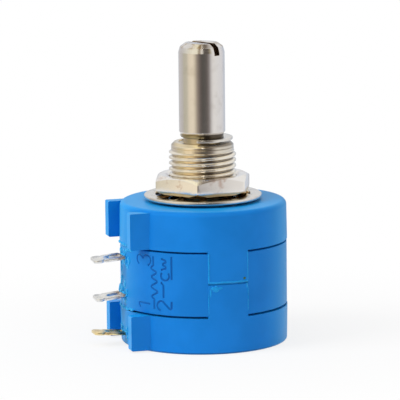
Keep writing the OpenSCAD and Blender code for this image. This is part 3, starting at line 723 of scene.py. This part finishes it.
# Covers: each is a cup with two locking tabs and two wings beside the lugs
cover = {"radius": 11.1, "inner": 10.1, "draft": 0.08, "bore": 4.52, "faceThickness": 1.8, "edge": 0.07,
         "frontEdge": 0.7, "rearEdge": 0.35, "frontSeam": -5.2, "rearSeam": -14.0,
         "tabMeet": -9.28, "meetGap": 0.3, "tabWidth": 5.4, "tabTurn": 1.0,
         "cutInner": 9.6, "cutOuter": 12.5, "past": 14, "wingOut": 6.27, "wingIn": 4.67,
         "wingReach": 11.73, "wingRoot": 8.6, "wingCorner": 0.2, "frontStep": 0.4, "rearStep": 0.2,
         "step": -16.6, "stepRadius": 8.7, "floorTop": -17.9, "bossTop": -17.6, "boss": 2.5,
         "bearing": 1.53, "bearingFloor": -18.35}
c = cover
rearEnd = low("rear_cover").z


def tabCutter(edge, end):             # clears the skirt between two levels except at the tabs
    tool = turned([(c["cutInner"], edge), (c["cutOuter"], edge), (c["cutOuter"], end), (c["cutInner"], end)])
    keep = block((-c["tabWidth"] / 2, -c["past"], min(edge, end) - 1),
                 (c["tabWidth"] / 2, c["past"], max(edge, end) + 1))
    return carve(tool, turnBy(keep, c["tabTurn"]))


def wing(side, bottom, ceiling):      # one wing block with its outer corners rounded
    y = sorted((side * c["wingIn"], side * c["wingOut"]))
    piece = block((-c["wingReach"], y[0], bottom), (-c["wingRoot"], y[1], ceiling))
    atReach = -c["wingReach"] + 0.01
    bevelPicked(piece, c["wingCorner"], 5, lambda p, q: max(p.x, q.x) < atReach and abs(p.z - q.z) < 0.01)
    return piece


frontCup = turned(rounded([
    (c["bore"], 0), (c["radius"] - c["draft"], 0, c["frontEdge"]), (c["radius"], c["frontSeam"]),
    (c["radius"], c["tabMeet"]), (c["inner"], c["tabMeet"]), (c["inner"], -c["faceThickness"]),
    (c["bore"], -c["faceThickness"])], 6))
carve(frontCup, tabCutter(c["frontSeam"], c["tabMeet"] - 1))
wings = joinAll([wing(side, c["frontSeam"], -c["frontStep"]) for side in (-1, 1)])
carve(wings, rod(c["inner"], c["frontSeam"] - 1, -c["faceThickness"], sides=180))
carve(frontCup, wings, "UNION")
soften(frontCup, c["edge"], 2, 40)
finishPiece(frontCup, "frontCover", "housing", "cover_blue", finishes["frontBlue"], "front_cover",
            evened=True)

tabTop = c["tabMeet"] - c["meetGap"]
rearCup = turned(rounded([
    (0, rearEnd), (c["radius"] - c["draft"], rearEnd, c["rearEdge"]), (c["radius"], c["rearSeam"]),
    (c["radius"], tabTop), (c["inner"], tabTop), (c["inner"], c["step"]), (c["stepRadius"], c["step"]),
    (c["stepRadius"], c["floorTop"]), (c["boss"], c["floorTop"]), (c["boss"], c["bossTop"]),
    (c["bearing"], c["bossTop"]), (c["bearing"], c["bearingFloor"]), (0, c["bearingFloor"])], 6))
carve(rearCup, tabCutter(c["rearSeam"], tabTop + 1))
wings = joinAll([wing(side, rearEnd + c["rearStep"], c["rearSeam"]) for side in (-1, 1)])
carve(wings, rod(c["inner"], rearEnd, c["rearSeam"] + 1, sides=180))
carve(rearCup, wings, "UNION")
soften(rearCup, c["edge"], 2, 40)
finishPiece(rearCup, "rearCover", "housing", "cover_blue", finishes["rearBlue"], "rear_cover", evened=True)

# Coil housing: the window between the covers, with tab slots, lug slots and the sunk wiring marks
coilBody = {"window": 11.04, "skirtFit": 10.1, "bore": 8.7, "top": -5.48, "low": -13.72, "frontEnd": -1.8,
            "rearEnd": -16.6, "slotHalf": 2.715, "edge": 0.06, "lugLevels": (-7.0, -12.1), "lugWidth": 2.6,
            "lugThickness": 0.35, "lugDepth": 8.85, "markRadius": 0.2, "markLift": 0.09, "markTurn": 0.17}
h = coilBody
housing = turned(rounded([
    (h["bore"], h["frontEnd"]), (h["skirtFit"], h["frontEnd"]), (h["skirtFit"], h["top"]),
    (h["window"], h["top"], h["edge"]), (h["window"], h["low"], h["edge"]), (h["skirtFit"], h["low"]),
    (h["skirtFit"], h["rearEnd"]), (h["bore"], h["rearEnd"])], 3))
slots = block((-h["slotHalf"], -13, h["low"] - 0.5), (h["slotHalf"], 13, h["top"] + 0.5))
turnBy(slots, c["tabTurn"])
carve(slots, rod(h["skirtFit"], h["low"] - 1, h["top"] + 1, sides=180))
carve(housing, slots)
for level in h["lugLevels"]:
    carve(housing, block((-12, -h["lugWidth"] / 2, level - h["lugThickness"] / 2),
                         (-h["lugDepth"], h["lugWidth"] / 2, level + h["lugThickness"] / 2)))


def arcPoints(x, y, radius, start, end, steps=12):         # angles in degrees
    turns = [math.radians(start + (end - start) * k / steps) for k in range(steps + 1)]
    return [(x + radius * math.cos(t), y + radius * math.sin(t)) for t in turns]


# Marks: strokes drawn upright, each with the place of its glyph; glyphs lie turned a quarter on the wall
marks = [
    (-10.6, -7.3, arcPoints(0.65, 1.9, 0.60, 165, -75)),
    (-10.6, -7.3, arcPoints(0.65, 0.65, 0.68, 75, -165)),
    (-10.75, -13.0, [(0, 1.75), (0.6, 2.15), (0.6, 0)]),
    (-7.45, -13.1, arcPoints(0.6, 1.5, 0.62, 170, -30) + [(0, 0), (1.25, 0)]),
    (-7.75, -9.1, arcPoints(0.6, 0.6, 0.6, 50, 310)),
    (-7.9, -7.75, [(0, 1.05), (0.35, 0), (0.75, 1.05), (1.15, 0), (1.5, 1.05)]),
]
strokes = [[(u - y, z + x) for x, y in line] for u, z, line in marks] + [
    [(-10.15, -6.05), (-10.15, -7.25), (-10.7, -7.65), (-9.5, -8.15), (-10.65, -8.8), (-9.4, -9.35),
     (-10.7, -10.1), (-9.35, -10.7), (-10.6, -11.4), (-10.05, -11.7), (-10.05, -13.0)],
    [(-8.6, -11.45), (-8.6, -9.8), (-9.0, -9.35)],
    [(-7.4, -5.9), (-7.4, -8.95)],
]


def strokeTube(line):                 # a stroke wrapped on the window's wall, as a thin round cutter
    reach = h["window"] + h["markLift"]
    soft = [line[0]]
    for before, here, after in zip(line, line[1:], line[2:]):
        turn = (Vector(here) - Vector(before)).angle(Vector(after) - Vector(here))
        soft.append((*here, h["markTurn"] if turn > 0.6 else 0))
    soft = rounded(soft + [line[-1]], 4)
    fine = []                         # long runs are cut up, so that they follow the wall
    for (u0, z0), (u1, z1) in zip(soft, soft[1:]):
        cuts = max(1, round(abs(u1 - u0) / 0.3))
        fine += [(u0 + (u1 - u0) * k / cuts, z0 + (z1 - z0) * k / cuts) for k in range(cuts)]
    fine.append(soft[-1])
    around = [(u / h["window"] - math.pi / 2, z) for u, z in fine]
    tube = drawLine([(reach * math.cos(t), reach * math.sin(t), z) for t, z in around])
    bpy.ops.object.mode_set(mode="OBJECT")
    bpy.ops.object.convert(target="CURVE")
    tube = bpy.context.object
    tube.data.bevel_depth = h["markRadius"]
    tube.data.bevel_resolution = 2
    tube.data.use_fill_caps = True
    bpy.ops.object.convert(target="MESH")
    return closeUp(bpy.context.object)


for line in strokes:
    carve(housing, strokeTube(line), selfCrossing=True)
finishPiece(housing, "coilHousing", "housing", "housing_blue", finishes["housingBlue"], "coil_housing",
            smooth=30, evened=True)

# Solder lugs: stamped blades with an eye, two wire notches and clipped corners, bent at the wall
lugs = {"bend": 11.35, "bendHalf": 0.12, "tip": 14.9, "width": 2.6, "thickness": 0.35, "eyeWidth": 1.1,
        "eyeLength": 2.1, "eyeEnd": 1.55, "notch": 0.22, "notchEnd": 0.95, "taper": 0.35, "edge": 0.045,
        "footWidth": 2.2, "footInner": 8.85}
g = lugs


def solderLug(name, target, slotName, finish, level, droop, tilt, longer, root=8.85, footEnd=None):
    half, thin = g["width"] / 2, g["thickness"] / 2
    end = g["tip"] + longer
    blade = block((-end, -half, level - thin), (-root, half, level + thin))
    bevelPicked(blade, g["taper"], 1, lambda p, q: max(p.x, q.x) < -end + 0.01 and abs(p.z - q.z) > 0.1)
    eyeOut = -g["tip"] + g["eyeEnd"] + g["eyeWidth"] / 2
    eyeIn = -g["tip"] + g["eyeEnd"] + g["eyeLength"] - g["eyeWidth"] / 2
    for x in (eyeOut, eyeIn):
        carve(blade, rod(g["eyeWidth"] / 2, level - 1, level + 1, (x, 0)))
    carve(blade, block((eyeOut, -g["eyeWidth"] / 2, level - 1), (eyeIn, g["eyeWidth"] / 2, level + 1)))
    for side in (-half, half):
        carve(blade, rod(g["notch"], level - 1, level + 1, (-g["tip"] + g["notchEnd"], side), 24))
    soften(blade, g["edge"], 2, 40)
    takeUp(blade)
    bpy.ops.object.mode_set(mode="EDIT")
    for cut in (g["bend"] - g["bendHalf"], g["bend"], g["bend"] + g["bendHalf"]):
        bpy.ops.mesh.select_all(action="SELECT")
        bpy.ops.mesh.bisect(plane_co=(-cut, 0, level), plane_no=(1, 0, 0))
    bpy.ops.object.mode_set(mode="OBJECT")
    pivot = Vector((-g["bend"], 0, level))
    for v in blade.data.vertices:     # beyond the bend the blade droops and tilts a little
        share = min(1, max(0, (-v.co.x - g["bend"] + g["bendHalf"]) / (2 * g["bendHalf"])))
        bend = Matrix.Rotation(-math.radians(droop) * share, 3, "Y") @ \
            Matrix.Rotation(math.radians(tilt) * share, 3, "X")
        v.co = pivot + bend @ (v.co - pivot)
    if footEnd:                       # a foot inside reaches the coil's end clip
        ends = sorted((level, footEnd))
        foot = block((-g["footInner"] - g["thickness"], -g["footWidth"] / 2, ends[0]),
                     (-g["footInner"], g["footWidth"] / 2, ends[1]))
        carve(blade, foot, "UNION")
    finishPiece(blade, name, "housing", slotName, finish, target)


solderLug("lugThree", "terminal_3", "tinned_lug", finishes["tinnedLug"], level=-7.0, droop=5, tilt=5,
          longer=0.35, footEnd=high("terminal_3").z)
solderLug("lugOne", "terminal_1", "tinned_lug", finishes["tinnedLug"], level=-12.1, droop=6, tilt=5,
          longer=0.12, footEnd=low("terminal_1").z)
solderLug("lugTwo", "terminal_2", "gold_lug", finishes["goldLug"], level=-17.2, droop=-3, tilt=0,
          longer=0.35, root=7.9)

# Seals: melted lumps on the wall round each lug, as [across, height, half width, half height, rise]
seals = {
    "voxel": 0.06, "lump": 0.14, "grain": 2.6, "wall": 11.0,
    "sealThree": [(0, -7.0, 1.5, 0.36, 0.24), (-1.1, -7.6, 0.5, 0.62, 0.22), (-0.2, -7.75, 0.5, 0.38, 0.14),
                  (-1.7, -8.2, 0.36, 0.42, 0.16), (0.9, -6.35, 0.6, 0.4, 0.2),
                  (-0.7, -6.3, 0.6, 0.36, 0.18), (-2.1, -7.3, 0.4, 0.5, 0.12),
                  (-2.6, -5.75, 0.8, 0.26, 0.12), (-3.5, -5.45, 0.7, 0.22, 0.16),
                  (-1.6, -5.9, 0.5, 0.3, 0.14), (-0.3, -5.35, 1.6, 0.22, 0.2), (1.9, -5.4, 0.9, 0.2, 0.2)],
    "sealOne": [(0, -12.1, 1.55, 0.38, 0.24), (1.7, -11.7, 0.9, 0.8, 0.32), (-0.9, -12.8, 0.55, 0.45, 0.16),
                (-1.3, -11.6, 0.45, 0.4, 0.16), (0.5, -11.4, 0.7, 0.45, 0.26), (-0.4, -13.8, 1.9, 0.24, 0.2),
                (-2.6, -13.7, 0.8, 0.2, 0.12), (1.9, -13.8, 0.9, 0.22, 0.2), (1.1, -10.4, 0.5, 0.9, 0.14),
                (0.4, -9.5, 0.3, 0.9, 0.10), (-0.6, -10.6, 0.35, 0.7, 0.10), (1.0, -8.6, 0.4, 0.8, 0.12)],
    "sealTwo": [(0, -17.2, 1.55, 0.42, 0.24), (-1.3, -16.7, 0.55, 0.5, 0.20), (1.0, -16.6, 0.7, 0.45, 0.22),
                (-1.5, -17.7, 0.5, 0.4, 0.18), (-2.1, -17.1, 0.4, 0.4, 0.14)],
}


def lump(turn, radius, level, halfAcross, halfHigh, rise): # a flat ball on the wall, facing outwards
    clearSelection()
    bpy.ops.mesh.primitive_uv_sphere_add(segments=24, ring_count=14, radius=1, location=(radius, 0, level),
                                         scale=(rise, halfAcross, halfHigh))
    bpy.ops.object.transform_apply(location=True, rotation=True, scale=True)
    ball = bpy.context.object
    ball.rotation_euler.z = turn
    bpy.ops.object.transform_apply(location=True, rotation=True, scale=True)
    return ball


def meltTogether(lumps, seed):
    blob = joinAll(lumps)
    takeUp(blob)
    bpy.ops.object.modifier_add(type="REMESH")
    skin = blob.modifiers[-1]
    skin.mode = "VOXEL"
    skin.voxel_size = seals["voxel"]
    applyLast(blob)
    roughUp(blob, seals["lump"], seals["grain"], seed)
    roughUp(blob, seals["lump"] * 0.4, seals["grain"] * 3, seed + 4)
    return blob


for number, (name, target) in enumerate({"sealThree": "terminal_seal_3", "sealOne": "terminal_seal_1",
                                         "sealTwo": "terminal_seal_2"}.items()):
    wall = seals["wall"]
    lumps = [lump(math.pi - across / wall, wall, *form) for across, *form in seals[name]]
    blob = meltTogether(lumps, 1.3 + 4.1 * number)
    finishPiece(blob, name, "housing", "sealant", finishes["meltBlue"], target, smooth=60)

# Weld flash where the tabs meet: a fill in the gap, a ragged lip above it and lumps beside it
flash = {"fill": 10.86, "lap": 0.05, "overrun": 0.1, "lipRadius": 0.13, "lipWall": 11.06, "lift": 0.03,
         "wave": 0.05, "waves": 9, "steps": 40, "sunk": 0.02, "burn": (2.2, -8.86, 0.22, 0.15, 0.10),
         "beads": [(-2.66, -9.2, -5.5, 0.11), (-2.70, -13.4, -10.9, 0.07), (2.70, -9.1, -5.4, 0.08),
                   (2.72, -13.2, -9.9, 0.07)],
         "lumps": [(-1.72, -9.74, 0.16, 0.13, 0.14), (-1.75, -10.15, 0.42, 0.36, 0.12),
                   (-2.15, -10.0, 0.26, 0.24, 0.11), (-1.2, -9.98, 0.34, 0.14, 0.08),
                   (-2.45, -10.6, 0.12, 0.55, 0.08), (2.55, -9.8, 0.12, 0.4, 0.08)]}
f = flash
halfTab = c["tabWidth"] / 2
wallIn = c["radius"] - f["sunk"]      # lumps start a little inside the cover's wall


def weldFlash(name, facing, seed):
    reach = halfTab / f["lipWall"]
    turns = [facing - reach + 2 * reach * k / f["steps"] for k in range(f["steps"] + 1)]
    lip = drawLine([(f["lipWall"] * math.cos(t), f["lipWall"] * math.sin(t),
                     c["tabMeet"] + f["lift"] + f["wave"] * noise.noise(Vector((t * f["waves"], seed, 0))))
                    for t in turns])
    bpy.ops.object.mode_set(mode="OBJECT")
    bpy.ops.object.convert(target="CURVE")
    lip = bpy.context.object
    lip.data.bevel_depth = f["lipRadius"]
    lip.data.bevel_resolution = 3
    lip.data.use_fill_caps = True
    bpy.ops.object.convert(target="MESH")
    lip = roughUp(closeUp(bpy.context.object), 0.05, 3.0, seed)
    fillIn, fillLow, fillHigh = c["inner"] + f["lap"], tabTop - f["overrun"], c["tabMeet"] + f["overrun"]
    fill = turned([(fillIn, fillLow), (f["fill"], fillLow), (f["fill"], fillHigh), (fillIn, fillHigh)])
    ends = (0, c["past"]) if facing > 0 else (-c["past"], 0)
    keep = block((-halfTab, ends[0], tabTop - 1), (halfTab, ends[1], c["tabMeet"] + 1))
    carve(fill, keep, "INTERSECT")
    turnBy(fill, c["tabTurn"])
    lumps = [lump(facing + across / c["radius"], wallIn, *form) for across, *form in f["lumps"]]
    beads = []
    for across, bottom, ceiling, thick in f["beads"]:
        turn = facing + across / c["radius"]
        place = (f["lipWall"] * math.cos(turn), f["lipWall"] * math.sin(turn))
        bead = rod(thick, bottom, ceiling, place, 12)
        takeUp(bead)
        bpy.ops.object.mode_set(mode="EDIT")
        bpy.ops.mesh.select_all(action="SELECT")
        bpy.ops.mesh.subdivide(number_cuts=6)
        bpy.ops.object.mode_set(mode="OBJECT")
        beads.append(roughUp(bead, 0.05, 2.2, seed + across))
    lumps += beads
    finishPiece(joinAll([fill, lip] + lumps), name, "housing", "cover_blue", finishes["meltBlue"], smooth=60)


shift = math.radians(c["tabTurn"])
weldFlash("frontFlash", shift - math.pi / 2, 2.0)
weldFlash("backFlash", shift + math.pi / 2, 7.0)
across, *form = f["burn"]
burn = lump(shift - math.pi / 2 + across / c["radius"], wallIn, *form)
finishPiece(roughUp(burn, 0.03, 5), "burntSpot", "housing", "cover_blue", finishes["burntPlastic"],
            smooth=60)

# Parts inside the housing keep their solids and get their finishes here
innerFinishes = {
    "resistance_coil": newFinish("woundWire", plainInner, colour=(0.62, 0.40, 0.26), metal=0.9, shine=0.38,
                                 scale=9),
    "coil_clip_front": newFinish("clipMetalFront", plainInner, colour=(0.72, 0.56, 0.30), metal=1.0,
                                 shine=0.3),
    "coil_clip_rear": newFinish("clipMetalRear", plainInner, colour=(0.72, 0.56, 0.30), metal=1.0,
                                shine=0.3),
    "rotor": newFinish("rotorPlastic", plainInner, colour=(0.055, 0.055, 0.06), metal=0.0, shine=0.5),
    "contact_rail": newFinish("railMetal", plainInner, colour=(0.80, 0.62, 0.32), metal=1.0, shine=0.25),
    "slip_ring": newFinish("slipRingMetal", plainInner, colour=(0.80, 0.62, 0.32), metal=1.0, shine=0.22),
    "thrust_washer": newFinish("thrustBrass", plainInner, colour=(0.66, 0.52, 0.28), metal=1.0, shine=0.33),
    "wiper_carriage": newFinish("carriagePlastic", plainInner, colour=(0.62, 0.60, 0.53), metal=0.0,
                                shine=0.45),
    "wiper_contact": newFinish("wiperMetal", plainInner, colour=(0.78, 0.63, 0.38), metal=1.0, shine=0.24),
    "brush_spring": newFinish("brushMetal", plainInner, colour=(0.78, 0.60, 0.30), metal=1.0, shine=0.28),
}
for name, finish in innerFinishes.items():
    for place in node[name].material_slots:
        place.material = finish
print("inner parts finished")
